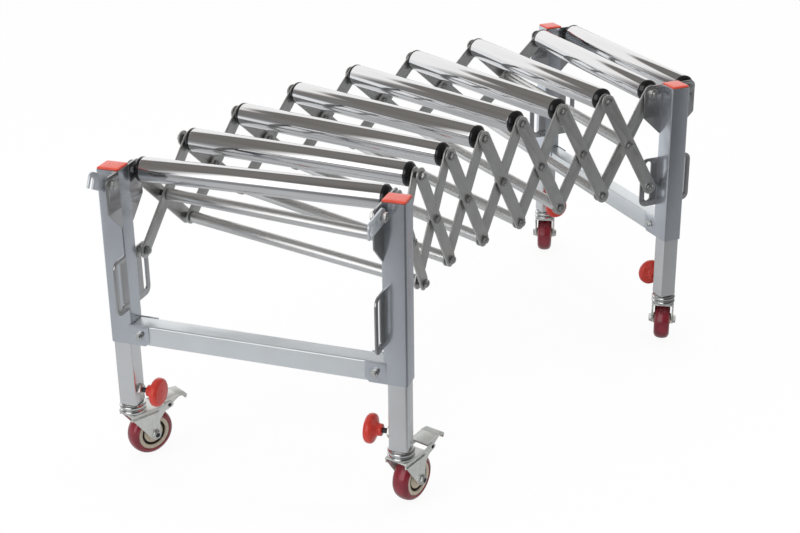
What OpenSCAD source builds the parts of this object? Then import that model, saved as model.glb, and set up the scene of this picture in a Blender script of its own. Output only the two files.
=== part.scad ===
// Flexible gravity roller stand: a curved scissor lattice of nine rollers between
// two castered end frames. Millimetres, +Z up. The origin is on the floor, midway
// between the two posts of the front frame; +Y runs along the bed, +X to its right.

/* [Lattice] */
// Opening angle of the links from the vertical at the middle of the bed
bay_open = 37.75; // [30:0.25:39]
// Turn of one bay to the right, which bends the stand into a curve
bay_turn = 6.85; // [0:0.05:6.85]
// Link length between its end pivots
link_len = 198; // [190:1:215]
// Link width
link_w = 25; // [20:0.5:28]
// Link thickness
link_t = 3; // [2:0.1:4]
// Gap between the outer and the inner links of the middle bays
link_gap = 2.5; // [2.5:0.1:5]
// Gap between a frame's plates and the links on both sides of them
plate_gap = 3.8; // [3.8:0.1:5]
// Diameter of the pivot bolts and roller axles
pin_d = 8; // [6:0.5:10]
// Diameter of the tie tubes
tie_d = 19; // [16:0.5:24]
// Wall of the tie tubes
tie_wall = 1.5; // [1:0.1:3]

/* [Rollers] */
// Height of the roller axes above the floor with the legs in
roller_z = 483.5; // [470:0.5:700]
// Roller diameter
roller_d = 36; // [30:0.5:38]
// Wall of the roller tube
roller_wall = 1.5; // [1:0.1:2.5]
// Length of an end cap's cone outside the tube
cone_len = 9; // [5:0.5:14]

/* [End frames] */
// Distance between the centres of a frame's two posts
post_gauge = 450; // [420:1:520]
// Outer width of the square post
post_w = 34; // [34:0.5:36]
// Wall of the post
post_wall = 1.9; // [1.5:0.1:1.9]
// Corner radius of the post
post_r = 3; // [2:0.1:5]
// Height of the post's bottom end
post_bottom = 212; // [190:1:235]
// How far the post's top stands above the roller axes
post_over = 13.5; // [8:0.5:20]
// Distance of the roller axes from the post's centre
arm = 36; // [34:0.5:44]
// Thickness of the ear and slot plates
plate_t = 3; // [2:0.1:4]
// Steel of the ear and slot plates beyond the pivots at each side
plate_rim = 15; // [13:0.5:24]
// Height of an ear plate
ear_h = 90; // [80:1:110]
// Height of the cross stretcher's section
stretcher_h = 33; // [25:0.5:40]
// Wall of the cross stretcher
stretcher_wall = 1.5; // [1:0.1:3]
// Length of the tabs that hold the stretcher
tab_len = 32; // [26:1:45]

/* [Slot plates] */
// How far the slots reach below the lowest slot pin
slot_under = 27.6; // [8:0.1:32]
// How far the slots reach above the highest slot pin
slot_over = 7.4; // [7:0.1:14]
// Play of a slot pin's bush on each side
slot_play = 0.4; // [0.4:0.05:1.5]
// Steel left above and below the slots
slot_rim = 11; // [8:0.5:16]

/* [Legs] */
// Outer width of the fixed leg tube
leg_tube_w = 30; // [29.6:0.1:30]
// Wall of the fixed leg tube
leg_tube_wall = 1.7; // [1.2:0.1:1.9]
// Height of the fixed leg tube's bottom end
leg_tube_bottom = 101; // [100:0.5:112]
// Outer width of the sliding leg
leg_w = 26; // [22:0.1:26]
// Wall of the sliding leg
leg_wall = 1.5; // [1:0.1:2]
// Length of the sliding leg above the ball race
leg_len = 260.4; // [220:0.2:300]
// Diameter of a clamp knob
knob_d = 46; // [36:1:50]
// Height of the clamp knobs
knob_z = 124; // [120:1:140]

/* [Casters] */
// Wheel diameter
wheel_d = 75; // [70:1:75]
// Wheel width
wheel_w = 28; // [22:1:30]
// Trail of the wheel behind its swivel
trail = 26; // [22:0.5:32]
// Diameter of the ball race
race_d = 42; // [36:1:46]
// Gap between the fork's cheeks
fork_gap = 34; // [33:0.5:38]
// Thickness of the fork's cheeks
fork_t = 2.2; // [1.8:0.1:3]
// Reach of the pedal's tip beyond the fork's lugs
pedal_over = 27; // [21:1:37]
// Heading of the front left wheel, in degrees from +X
head_fl = 60; // [0:1:359]
// Heading of the front right wheel
head_fr = 73; // [0:1:359]
// Heading of the rear left wheel
head_rl = 101; // [0:1:359]
// Heading of the rear right wheel
head_rr = 97; // [0:1:359]

/* [Hooks] */
// Distance from a hook's pivot to its notch
hook_reach = 44; // [38:1:55]
// Height of a hook's plate
hook_h = 25; // [20:0.5:28]
// Rise of the left hook above the horizontal, in degrees
hook_rise_l = 27; // [-60:1:80]
// Rise of the right hook above the horizontal
hook_rise_r = -3; // [-60:1:80]

/* [Hidden] */
$fn = 48;
// Overrun of every cut, and the clearances of sliding and pivoting pieces
cut = 1;
seat = 0.1;
slide_gap = 0.15;
pivot_gap = 0.25;
fold_gap = 0.4;
skew_gap = 1.2;
bays = 7;
// Sizes of the bolts: head across flats and thickness, washer, thread end
head_over = 5;
head_af = pin_d + head_over;
head_h = 5.3;
washer_rim = 4.5;
washer_d = pin_d + 2 * washer_rim;
washer_t = 1.6;
end_len = 2;
// Walls of the spacer sleeves and bushes round the bolts
spacer_wall = 3;
spacer_d = pin_d + 2 * spacer_wall;
bush_wall = 1;
bush_d = pin_d + 2 * bush_wall;
bush_gap = 0.7;
// Cap on a post: rim of the post left bare, edge thickness, crown inset and rise, plug
cap_bare = 0.8;
cap_t = 2.2;
cap_rise = 1.3;
cap_inset = 2.8;
plug_h = 14;
plug_wall = 1.8;
// Ear plate corner radius and the height of its tapered foot
ear_r = 10;
ear_taper_h = 32;
slot_plate_r = 13;
tab_chamfer = 7;
tab_t = 1.5;
// Tie tube end plugs
tie_plug = 12;
// Roller: end cap rim, rim lip, outer end radius, tube recess
cap_lip = 1.2;
cone_end_d = 21;
hub_in = 14;
// Sliding leg: end plug height; fixed tube: overlap with the post, clamp boss
leg_plug_h = 24;
tube_overlap = 95;
boss_d = 17;
boss_t = 5;
// Knob: neck, head thickness, dome rise and rim radius
neck_d = 19;
neck_len = 10;
knob_t = 17;
knob_edge = 5;
knob_stand = 9;
// Ball race beads, crown plate and kingpin
race_top = 99.6;
bead_h = 7.6;
bead_gap = 0.5;
crown_t = 2.8;
kingpin_d = 10;
kingpin_head_d = 18;
kingpin_head_h = 1.8;
// Fork cheeks: boss round the axle, front lip, rear lugs
cheek_boss = 9;
cheek_front = 15;
cheek_heel = 9.5;
lug_reach = 63;
lug_drop = 12;
lug_pin_x = 55;
lug_pin_drop = 4;
lug_pin_d = 5;
rib_w = 8;
rib_t = 0.9;
axle_d = 8;
// Wheel: tyre depth, tread corner, core rim, web and hub
tyre_t = 9.5;
tread_r = 9;
rim_t = 3;
web_t = 9;
hub_d = 20;
hub_gap = 0.6;
// Pedal: plate thickness, width, tread width, length and fall, curled lip, ribs
pedal_t = 2;
pedal_w = 28;
pedal_gap = 0.5;
tread_w = 33;
tread_len = 15;
tread_fall = 2;
pedal_rise = 2;
pedal_front = 46;
pedal_lift = 3;
lip_drop = 7;
tread_rib_d = 2.4;
tread_ribs = 4;
// Hook: notch width, finger beyond the notch, rounding of its upper corner
notch_w = 9;
hook_finger = 4.5;
hook_round = 9;

// Derived places
half_turn = bay_turn / 2;
bay_pitch = link_len * sin(bay_open);
plate_half = arm + plate_rim;
leg_top = race_top + leg_len;
pedal_reach = lug_reach + pedal_over;
plate_x = (post_gauge - post_w - plate_t) / 2;
ear_face = plate_x + plate_t / 2;
lattice_gauge = 2 * plate_x;
side_diff = lattice_gauge * sin(half_turn);
end_c = (plate_t + link_t) / 2 + plate_gap;
mid_c = (link_gap + link_t) / 2;
roller_len = 2 * (plate_x - end_c - link_t / 2 - skew_gap - 2 * seat);
top_z = roller_z + post_over;
wheel_r = wheel_d / 2;
stretcher_z = post_bottom + (stretcher_h + tab_t) / 2;
stretcher_d = post_w - 2 * tab_t;
crown_z = race_top - 2 * bead_h - bead_gap;
headings = [head_fl, head_fr, head_rl, head_rr];

// Chord of one side's bay, its link lean and its drop, for side s = -1 left, 1 right
function chord(s) = bay_pitch - s * side_diff;
function lean(s) = asin(chord(s) / link_len);
function drop(s) = link_len * cos(lean(s));
// Distance of bay k's links from the side's middle plane: the end bays clasp the plates
function link_c(k) = k == 0 || k == bays - 1 ? end_c : mid_c;
// Outer face of the outer links, and inner face of the inner links, of bay k
function link_out(k) = plate_x + link_c(k) + link_t / 2;
function link_in(k) = plate_x - link_c(k) - link_t / 2;
slot_w = bush_d + 2 * slot_play;
slot_top = roller_z - drop(-1) + slot_over;
slot_bottom = roller_z - drop(1) - slot_under;
// Heading of pivot line k, its centre, and a point on it at x across the bed
function heading(k) = -k * bay_turn;
function centre(k) = k == 0 ? [0, arm] :
  centre(k - 1) + bay_pitch * [sin((k - 0.5) * bay_turn), cos((k - 0.5) * bay_turn)];
function side_point(k, s, z) = let (c = centre(k), h = heading(k), x = s * lattice_gauge / 2)
  [c.x + x * cos(h), c.y + x * sin(h), z];
function low_point(k, s) = side_point(k, s, roller_z - drop(s));
function mid_point(k, s) = (side_point(k, s, roller_z) + low_point(k + 1, s)) / 2;

// Draws children with their X axis along the line from p to q, centred between them.
// A slanting line is longer than the gauge by $slant at each end.
module along(p, q) {
  d = q - p;
  $slant = (norm(d) - lattice_gauge) / 2;
  translate((p + q) / 2)
    rotate([0, -atan2(d.z, norm([d.x, d.y])), atan2(d.y, d.x)])
      children();
}

// Frame k of the stand: 0 front, 1 rear, each with its posts' line on X
module at_frame(k) {
  if (k == 0) children();
  else translate(concat(centre(bays), [0])) rotate([0, 0, heading(bays)])
    translate([0, arm, 0]) children();
}

module at_post(k, s) {
  at_frame(k) translate([s * post_gauge / 2, 0, 0]) children();
}

// Children drawn for the right side stand on both sides
module both() {
  for (s = [-1, 1]) scale_x(s) children();
}

module scale_x(s) {
  if (s < 0) mirror([1, 0, 0]) children();
  else children();
}

module round_square(w, r) {
  square([w - 2 * r, w], center = true);
  square([w, w - 2 * r], center = true);
  for (x = [-1, 1], y = [-1, 1])
    translate([x, y] * (w / 2 - r)) circle(r);
}

module square_tube(w, wall, r, z0, z1) {
  translate([0, 0, z0]) linear_extrude(z1 - z0)
    difference() {
      round_square(w, r);
      round_square(w - 2 * wall, max(r - wall, wall / 3));
    }
}

// Rod along X from x0 to x1
module rod(d, x0, x1) {
  translate([x0, 0, 0]) rotate([0, 90, 0]) cylinder(d = d, h = x1 - x0);
}

// Hexagon nut or head along X, standing outward from x0
module hex_head(x0, h = head_h, af = head_af) {
  translate([x0, 0, 0]) rotate([0, 90, 0]) cylinder(d = af / cos(30), h = h, $fn = 6);
}

// Washer and hexagon standing outward from x0
module nut_set(x0) {
  rod(washer_d, x0, x0 + washer_t);
  hex_head(x0 + washer_t);
}

// End frames

module posts(k) {
  color([0.66, 0.69, 0.73])
    at_frame(k) both() post_with_tabs();
}

module post_with_tabs() {
  tab_x = post_w / 2 + tab_len;
  translate([post_gauge / 2, 0, 0]) {
    square_tube(post_w, post_wall, post_r, post_bottom, top_z);
    for (y = [-1, 1])
      translate([0, y * (post_w - tab_t) / 2, post_bottom])
        rotate([90, 0, 0]) linear_extrude(tab_t, center = true)
          difference() {
            polygon([[-post_w / 2 + post_r, 0], [-tab_x + tab_chamfer, 0],
              [-tab_x, tab_chamfer], [-tab_x, stretcher_h + tab_t],
              [-post_w / 2 + post_r, stretcher_h + tab_t]]);
            translate([-post_w / 2 - tab_len / 2, (stretcher_h + tab_t) / 2])
              circle(d = pin_d + 2 * seat);
          }
  }
}

module leg_tubes(k) {
  color([0.80, 0.81, 0.83])
    at_frame(k) both() translate([post_gauge / 2, 0, 0]) leg_tube();
}

// Fixed leg tube with the threaded boss of the clamp knob on its inner face
module leg_tube() {
  face = -leg_tube_w / 2;
  difference() {
    union() {
      square_tube(leg_tube_w, leg_tube_wall, post_r, leg_tube_bottom,
        post_bottom + tube_overlap);
      translate([0, 0, knob_z]) hex_head(face - boss_t, boss_t + leg_tube_wall / 2, boss_d);
    }
    translate([0, 0, knob_z])
      rod(pin_d + 2 * pivot_gap, face - boss_t - cut, face + leg_tube_wall + cut);
  }
}

module caps(k) {
  color([0.86, 0.20, 0.14])
    at_frame(k) both() translate([post_gauge / 2, 0, top_z]) post_cap();
}

// Crowned cap with a hollow plug inside the post
module post_cap() {
  hull() {
    linear_extrude(cap_t) round_square(post_w - 2 * cap_bare, post_r, $fn = 24);
    linear_extrude(cap_t + cap_rise) round_square(post_w - 2 * cap_inset, post_r, $fn = 24);
  }
  square_tube(post_w - 2 * post_wall - 2 * slide_gap, plug_wall, plug_wall, -plug_h, 0);
}

module ears(k) {
  color([0.70, 0.72, 0.76])
    at_frame(k) both() ear();
}

// Upper plate with a bore each side of the post for an axle or a hook's bolt
module ear() {
  foot = top_z - ear_h;
  translate([plate_x, 0, 0]) rotate([90, 0, 90]) linear_extrude(plate_t, center = true)
    difference() {
      union() {
        polygon([[-plate_half, foot + ear_taper_h], [-post_w / 2, foot], [post_w / 2, foot],
          [plate_half, foot + ear_taper_h], [plate_half, top_z - ear_r],
          [-plate_half, top_z - ear_r]]);
        translate([ear_r - plate_half, top_z - 2 * ear_r])
          square([2 * (plate_half - ear_r), 2 * ear_r]);
        for (y = [-1, 1])
          translate([y * (plate_half - ear_r), top_z - ear_r]) circle(ear_r);
      }
      for (y = [-arm, arm]) translate([y, roller_z]) circle(d = pin_d + 2 * seat);
    }
}

module slot_plates(k) {
  color([0.70, 0.72, 0.76])
    at_frame(k) both() slot_plate();
}

// Lower plate whose slots let the lattice's end pins rise and fall
module slot_plate() {
  z0 = slot_bottom - slot_rim;
  z1 = slot_top + slot_rim / 2;
  r = slot_plate_r;
  translate([plate_x, 0, 0]) rotate([90, 0, 90]) linear_extrude(plate_t, center = true)
    difference() {
      union() {
        translate([r - plate_half, z0]) square([2 * (plate_half - r), z1 - z0]);
        translate([-plate_half, z0 + r]) square([2 * plate_half, z1 - z0 - 2 * r]);
        for (y = [-1, 1], z = [z0 + r, z1 - r])
          translate([y * (plate_half - r), z]) circle(r);
      }
      for (y = [-arm, arm]) {
        translate([y - slot_w / 2, slot_bottom + slot_w / 2])
          square([slot_w, slot_top - slot_bottom - slot_w]);
        for (z = [slot_bottom + slot_w / 2, slot_top - slot_w / 2])
          translate([y, z]) circle(d = slot_w);
      }
    }
}

module stretcher(k) {
  len = post_gauge - post_w - 2 * seat;
  bolt_x = (post_gauge - post_w - tab_len) / 2;
  color([0.76, 0.79, 0.80]) at_frame(k)
    translate([0, 0, stretcher_z]) difference() {
      cube([len, stretcher_d - 2 * seat, stretcher_h], center = true);
      cube([len + cut, stretcher_d - 2 * stretcher_wall, stretcher_h - 2 * stretcher_wall],
        center = true);
      for (s = [-1, 1])
        translate([s * bolt_x, 0, 0]) rotate([90, 0, 0])
          cylinder(d = pin_d + 2 * seat, h = post_w, center = true);
    }
}

// Through bolts of the stretcher's tabs
module tab_bolts() {
  bolt_x = (post_gauge - post_w - tab_len) / 2;
  half = post_w / 2 + washer_t + head_h;
  for (s = [-1, 1])
    translate([s * bolt_x, 0, stretcher_z]) rotate([0, 0, 90]) {
      rod(pin_d, -half, half);
      both() hex_head(post_w / 2, washer_t + head_h);
    }
}

// Axle of an end roller through both ears, with its nuts on the faces at out and
// sleeves from sleeve_in to the ears
module end_axle(y, out, sleeve_in) {
  end = out + washer_t + head_h + end_len;
  translate([0, y, roller_z]) {
    rod(pin_d, -end, end);
    both() {
      nut_set(out);
      rod(spacer_d, sleeve_in, ear_face - plate_t - seat);
    }
  }
}

module front_fasteners() {
  color([0.78, 0.79, 0.80]) {
    end_axle(arm, link_out(0) + skew_gap, roller_len / 2 + seat);
    translate([0, arm, roller_z]) both()
      rod(bush_d, ear_face + seat, link_out(0) - link_t - bush_gap);
    translate([0, -arm, roller_z]) both() {
      rod(pin_d, ear_face - plate_t - washer_t, link_out(0) + washer_t + head_h + end_len);
      rod(spacer_d, ear_face + seat, link_out(0) - link_t - slide_gap);
      nut_set(link_out(0) + slide_gap);
      mirror([1, 0, 0]) nut_set(plate_t + seat - ear_face);
    }
    tab_bolts();
  }
}

module rear_fasteners() {
  color([0.78, 0.79, 0.80]) at_frame(1) {
    end_axle(-arm, ear_face + seat, link_in(bays - 1) + link_t + bush_gap);
    end_axle(arm, ear_face + seat, roller_len / 2 + seat);
    tab_bolts();
  }
}

// Scissor links

// Where a pivot line of a bay crosses the plane at x across the bed, as [y, z] in
// the bay's own frame: the top line of the outer or inner links, the crossing, the low
function slope(x) = x * (drop(1) - drop(-1)) / (lattice_gauge * cos(half_turn));
function mean_drop() = (drop(1) + drop(-1)) / 2;
function top_bore(x, kind) = [kind * (x * tan(half_turn) - bay_pitch / 2), 0];
function mid_bore(x) = [0, -mean_drop() / 2 - slope(x) / 2];
function low_bore(x, kind, level) = [kind * (bay_pitch / 2 - x * tan(half_turn)),
  level ? -drop(sign(x)) : -mean_drop() - slope(x)];

// Round-ended bar of one link, in the plane of its bay
module link_outline(s, kind) {
  translate([-kind * chord(s) / 2, 0]) rotate(kind * lean(s)) {
    translate([-link_w / 2, -link_len]) square([link_w, link_len]);
    for (z = [0, -link_len]) translate([0, z]) circle(d = link_w);
  }
}

// Both links of one kind in bay k: kind 1 is outer and leans back, -1 is inner
module link_pair(k, kind) {
  c = (centre(k) + centre(k + 1)) / 2;
  level = kind > 0 ? k == bays - 1 : k == 0;
  bore = pin_d + 2 * pivot_gap;
  translate([c.x, c.y, roller_z]) rotate([0, 0, (heading(k) + heading(k + 1)) / 2])
    for (s = [-1, 1])
      let (x = s * (plate_x * cos(half_turn) + kind * link_c(k)))
        translate([x, 0, 0]) rotate([90, 0, 90]) linear_extrude(link_t, center = true)
          difference() {
            link_outline(s, kind);
            translate(top_bore(x, kind)) circle(d = bore);
            translate(mid_bore(x)) circle(d = bore);
            translate(low_bore(x, kind, level))
              circle(d = bore + (kind < 0 ? 2 * fold_gap : 0));
          }
}

// Pivot lines: children have X across the bed, measured from its middle
module top_line(k) {
  along(side_point(k, -1, roller_z), side_point(k, 1, roller_z)) children();
}

module mid_line(k) {
  along(mid_point(k, -1), mid_point(k, 1)) children();
}

// The end lines of low pivots are level: their slot pins are not tied across
module low_line(k) {
  $slant = 0;
  for (s = [-1, 1])
    translate(concat(centre(k), [roller_z - drop(s)]))
      rotate([0, 0, heading(k)]) scale_x(s) children();
}

// Bolt through the outer link of bay ka and the inner one of bay kb at the end of a
// line, with its head outside and a bush between the links
module side_bolt(ka, kb, inner_end) {
  rod(pin_d, inner_end, link_out(ka) + skew_gap + washer_t + head_h + end_len);
  nut_set(link_out(ka) + skew_gap);
  rod(bush_d, link_in(kb) + link_t + bush_gap, link_out(ka) - link_t - bush_gap);
}

// Tie tube along X with plugged ends, and the bolts that clamp it
module tie_bar(ka, kb) {
  half = link_in(kb) - skew_gap + $slant;
  plug_x = half - tie_plug;
  rotate([0, 90, 0]) difference() {
    cylinder(d = tie_d, h = 2 * half, center = true);
    cylinder(d = tie_d - 2 * tie_wall, h = 2 * plug_x, center = true);
    cylinder(d = pin_d + 2 * seat, h = 2 * half + cut, center = true);
  }
  both() translate([$slant, 0, 0]) side_bolt(ka, kb, plug_x - $slant);
}

// Short bolt of a plain crossing: nut inside, head outside
module cross_bolt(k) {
  both() translate([$slant, 0, 0]) {
    side_bolt(k, k, link_in(k) - skew_gap - washer_t - head_h);
    mirror([1, 0, 0]) nut_set(skew_gap - link_in(k));
  }
}

// Through axle of a roller that the lattice carries
module lattice_axle(k) {
  both() {
    side_bolt(k, k - 1, 0);
    if (link_in(k - 1) - skew_gap - roller_len / 2 > washer_t)
      rod(spacer_d, roller_len / 2 + seat, link_in(k - 1) - skew_gap);
  }
}

// Outer links of bay k, with the crossing's bolts, the lower tie and the axle
module link_a(k) {
  color([0.40, 0.40, 0.41]) link_pair(k, 1);
  color([0.78, 0.79, 0.80]) {
    if (k > 0) top_line(k) lattice_axle(k);
    mid_line(k) {
      if (k == 0 || k == bays - 1) tie_bar(k, k);
      else cross_bolt(k);
    }
    if (k < bays - 1)
      along(low_point(k + 1, -1), low_point(k + 1, 1)) tie_bar(k, k + 1);
    else low_line(bays) slot_pin(1);
  }
}

// Inner links of bay k; the first pair carries the front slot pins
module link_b(k) {
  color([0.40, 0.40, 0.41]) link_pair(k, -1);
  if (k == 0) color([0.78, 0.79, 0.80]) low_line(0) slot_pin(-1);
}

// Pin in a frame's slot, held by the link beside the plate: the outer link for
// kind 1, the inner one for -1. Its second nut is on the plate's other side.
module slot_pin(kind) {
  keep = plate_t / 2 + plate_gap;
  face = end_c + link_t / 2 + skew_gap;
  nut_len = washer_t + head_h + end_len;
  translate([plate_x, 0, 0]) scale_x(kind) {
    rod(pin_d, -keep - nut_len, face + nut_len);
    nut_set(face);
    mirror([1, 0, 0]) nut_set(keep);
    rod(bush_d, -keep, end_c - link_t / 2 - bush_gap);
  }
}

// Rollers

// Steel tube with a tapered plastic cap at each end, along X
module roller() {
  tube_half = roller_len / 2 - cone_len - cap_lip;
  color([0.80, 0.81, 0.82]) rotate([0, 90, 0]) difference() {
    cylinder(d = roller_d, h = 2 * tube_half, center = true, $fn = 64);
    cylinder(d = roller_d - 2 * roller_wall, h = 2 * tube_half + cut, center = true);
  }
  color([0.06, 0.06, 0.06]) both() translate([tube_half, 0, 0]) roller_cap();
}

// Cap: a plug in the tube, a lip on its end and a cone out to the hub
module roller_cap() {
  plug_r = roller_d / 2 - roller_wall - seat;
  lip_r = roller_d / 2 - roller_wall / 2;
  bore_r = pin_d / 2 + seat;
  rotate([0, 90, 0]) rotate_extrude()
    polygon([[bore_r, -hub_in], [plug_r, -hub_in], [plug_r, seat], [lip_r, seat],
      [lip_r, cap_lip], [cone_end_d / 2, cone_len + cap_lip], [bore_r, cone_len + cap_lip]]);
}

module roller_at(n) {
  if (n < 9)
    top_line(n - 1) roller();
  else at_frame(1) translate([0, arm, roller_z]) roller();
}

// Legs

// Sliding leg with its end plug, the upper race and the kingpin
module leg(k, s) {
  color([0.78, 0.79, 0.80]) at_post(k, s) {
    square_tube(leg_w, leg_wall, post_r, race_top, leg_top);
    translate([0, 0, race_top]) linear_extrude(leg_plug_h)
      round_square(leg_w - 2 * leg_wall - 2 * seat, leg_wall);
    bead(race_top - bead_h, race_d / 2);
    translate([0, 0, crown_z - crown_t - seat])
      cylinder(d = kingpin_d, h = race_top - crown_z + crown_t);
    translate([0, 0, crown_z - crown_t - seat - kingpin_head_h])
      cylinder(d = kingpin_head_d, h = kingpin_head_h);
  }
}

// Rounded ring of the ball race, standing on z0
module bead(z0, r) {
  e = bead_h / 2;
  translate([0, 0, z0]) {
    cylinder(r = r - e, h = bead_h);
    translate([0, 0, e]) rotate_extrude() translate([r - e, 0]) circle(e);
  }
}

module knob(k, s) {
  at_post(k, s) scale_x(s) translate([-leg_tube_w / 2, 0, knob_z]) clamp_knob();
}

// Mushroom knob on a steel stud, pointing at the leg along +X
module clamp_knob() {
  r = knob_d / 2;
  neck_x = -boss_t - knob_stand;
  head_x = neck_x - neck_len;
  color([0.78, 0.79, 0.80]) rod(pin_d, neck_x + seat, leg_tube_wall - seat);
  color([0.86, 0.20, 0.14]) {
    rod(neck_d, head_x - knob_t / 2, neck_x);
    translate([head_x, 0, 0]) rotate([0, -90, 0]) rotate_extrude() {
      square([r - knob_edge, knob_t]);
      translate([0, knob_edge]) square([r, knob_t - 2 * knob_edge]);
      for (z = [knob_edge, knob_t - knob_edge])
        translate([r - knob_edge, z]) circle(knob_edge);
    }
  }
}

// Casters

module at_caster(k, s) {
  n = 2 * k + (s + 1) / 2;
  at_post(k, s) rotate([0, 0, headings[n] - k * heading(bays)]) children();
}

// Outline of a fork cheek in the plane of the wheel
module cheek_outline() {
  x = trail;
  top = crown_z;
  union() {
    polygon([[-cheek_front, top], [-cheek_front, top - cheek_heel / 2],
      [x - cheek_boss, wheel_r - cheek_boss / 3], [x + cheek_boss, wheel_r],
      [x + cheek_boss, top - 2 * lug_drop], [lug_pin_x - cheek_boss, top - lug_drop],
      [lug_reach, top - 2 * lug_pin_drop], [lug_reach, top - lug_drop / 3],
      [lug_pin_x, top + lug_drop / 6], [x + cheek_boss, top]]);
    translate([x, wheel_r]) circle(cheek_boss);
  }
}

module fork(k, s) {
  color([0.76, 0.78, 0.79]) at_caster(k, s) {
    difference() {
      union() {
        for (y = [-1, 1])
          translate([0, y * (fork_gap + fork_t) / 2, 0]) rotate([90, 0, 0])
            linear_extrude(fork_t, center = true) cheek_outline();
        translate([-cheek_front, -fork_gap / 2 - fork_t, crown_z - crown_t])
          cube([cheek_front + trail + cheek_boss, fork_gap + 2 * fork_t, crown_t]);
        for (y = [-1, 1]) translate([0, y * (fork_gap / 2 + fork_t), 0]) cheek_rib(y);
        bead(crown_z, race_d / 2 - seat);
      }
      translate([0, 0, crown_z - crown_t - cut])
        cylinder(d = kingpin_d + 2 * slide_gap, h = crown_t + bead_h + 2 * cut);
      translate([trail, 0, wheel_r]) rotate([90, 0, 0])
        cylinder(d = axle_d + 2 * seat, h = 2 * fork_gap, center = true);
      translate([lug_pin_x, 0, crown_z - lug_pin_drop]) rotate([90, 0, 0])
        cylinder(d = lug_pin_d + 2 * seat, h = 2 * fork_gap, center = true);
    }
    translate([trail, 0, wheel_r]) rotate([0, 0, 90]) fork_bolt(axle_d, head_af, head_h);
    translate([lug_pin_x, 0, crown_z - lug_pin_drop]) rotate([0, 0, 90])
      fork_bolt(lug_pin_d, lug_pin_d + 2 * rib_t, rib_t);
  }
}

// Pressed rib down the cheek, from the crown to the axle
module cheek_rib(y) {
  z0 = wheel_r + cheek_boss;
  z1 = crown_z - rib_w;
  translate([trail, y * (rib_t / 2 - seat), 0]) rotate([90, 0, 0])
    linear_extrude(rib_t, center = true) {
      translate([-rib_w / 2, z0 + rib_w / 2]) square([rib_w, z1 - z0 - rib_w]);
      for (z = [z0 + rib_w / 2, z1 - rib_w / 2]) translate([0, z]) circle(d = rib_w);
    }
}

// Bolt across the fork, along X here, headed at both ends
module fork_bolt(d, af, h) {
  out = fork_gap / 2 + fork_t;
  rod(d, -out - h, out + h);
  both() hex_head(out + seat, h, af);
}

module wheel(k, s) {
  at_caster(k, s) translate([trail, 0, wheel_r]) rotate([90, 0, 0]) {
    color([0.45, 0.10, 0.14]) tyre();
    color([0.76, 0.72, 0.66]) core();
  }
}

// Crowned tyre round the core
module tyre() {
  in_r = wheel_r - tyre_t;
  rotate_extrude($fn = 64) difference() {
    union() {
      translate([in_r, -wheel_w / 2]) square([tyre_t - tread_r, wheel_w]);
      translate([in_r, tread_r - wheel_w / 2]) square([tyre_t, wheel_w - 2 * tread_r]);
      for (z = [-1, 1])
        translate([wheel_r - tread_r, z * (wheel_w / 2 - tread_r)]) circle(tread_r);
    }
    translate([0, -wheel_w]) square([in_r, 2 * wheel_w]);
  }
}

// Core with a raised rim, a sunk web and a hub bored for the axle
module core() {
  out_r = wheel_r - tyre_t - seat;
  bore_r = axle_d / 2 + slide_gap;
  hub_half = fork_gap / 2 - hub_gap;
  rotate_extrude() {
    translate([out_r - rim_t, -wheel_w / 2 + rim_t / 2]) square([rim_t, wheel_w - rim_t]);
    translate([bore_r, -web_t / 2]) square([out_r - bore_r, web_t]);
    translate([bore_r, -hub_half]) square([hub_d / 2 - bore_r, 2 * hub_half]);
  }
}

// Brake pedal: folded plate between the fork's lugs, with a ribbed tread and a lip
module pedal(k, s) {
  tip = pedal_reach - tread_len;
  z0 = crown_z + pedal_lift;
  z1 = z0 + pedal_rise;
  z2 = z1 - tread_fall;
  pivot_z = crown_z - lug_pin_drop;
  in_w = fork_gap - 2 * pedal_gap;
  color([0.80, 0.82, 0.82]) at_caster(k, s) {
    difference() {
      union() {
        rotate([90, 0, 0]) linear_extrude(pedal_w, center = true)
          polygon([[pedal_front, z0 - pedal_t], [tip + pedal_t, z1 - pedal_t],
            [tip + pedal_t, z1], [tip, z1], [pedal_front, z0]]);
        rotate([90, 0, 0]) linear_extrude(tread_w, center = true)
          polygon([[tip, z1 - pedal_t], [pedal_reach - pedal_t, z2 - pedal_t],
            [pedal_reach - 2 * pedal_t, z2 - lip_drop], [pedal_reach - pedal_t, z2 - lip_drop],
            [pedal_reach, z2 - pedal_t], [pedal_reach - pedal_t / 2, z2], [tip, z1]]);
        for (y = [-1, 1])
          translate([0, y * (in_w - pedal_t) / 2, 0]) rotate([90, 0, 0])
            linear_extrude(pedal_t, center = true) {
              translate([lug_pin_x, pivot_z]) circle(lug_drop / 2);
              polygon([[lug_pin_x - lug_drop / 2, pivot_z],
                [lug_pin_x + lug_drop / 2, pivot_z], [tip, z1 - pedal_t],
                [tip, z1 - pedal_t / 2], [pedal_front, z0 - pedal_t / 2],
                [pedal_front, z0 - pedal_t]]);
            }
        rotate([90, 0, 0]) linear_extrude(in_w, center = true)
          polygon([[pedal_front, z0 - pedal_t], [tip, z1 - pedal_t],
            [tip, z1 - pedal_t / 2], [pedal_front, z0 - pedal_t / 2]]);
        for (n = [1 : tread_ribs])
          translate([tip + tread_len * (n - 0.5) / (tread_ribs + 1), 0,
            z1 - tread_fall * (n - 0.5) / tread_ribs - pedal_t / 4]) rotate([90, 0, 0])
            cylinder(d = tread_rib_d, h = tread_w, center = true);
      }
      translate([lug_pin_x, 0, pivot_z]) rotate([90, 0, 0])
        cylinder(d = lug_pin_d + 2 * slide_gap, h = 2 * fork_gap, center = true);
    }
  }
}

// Hooks

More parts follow.
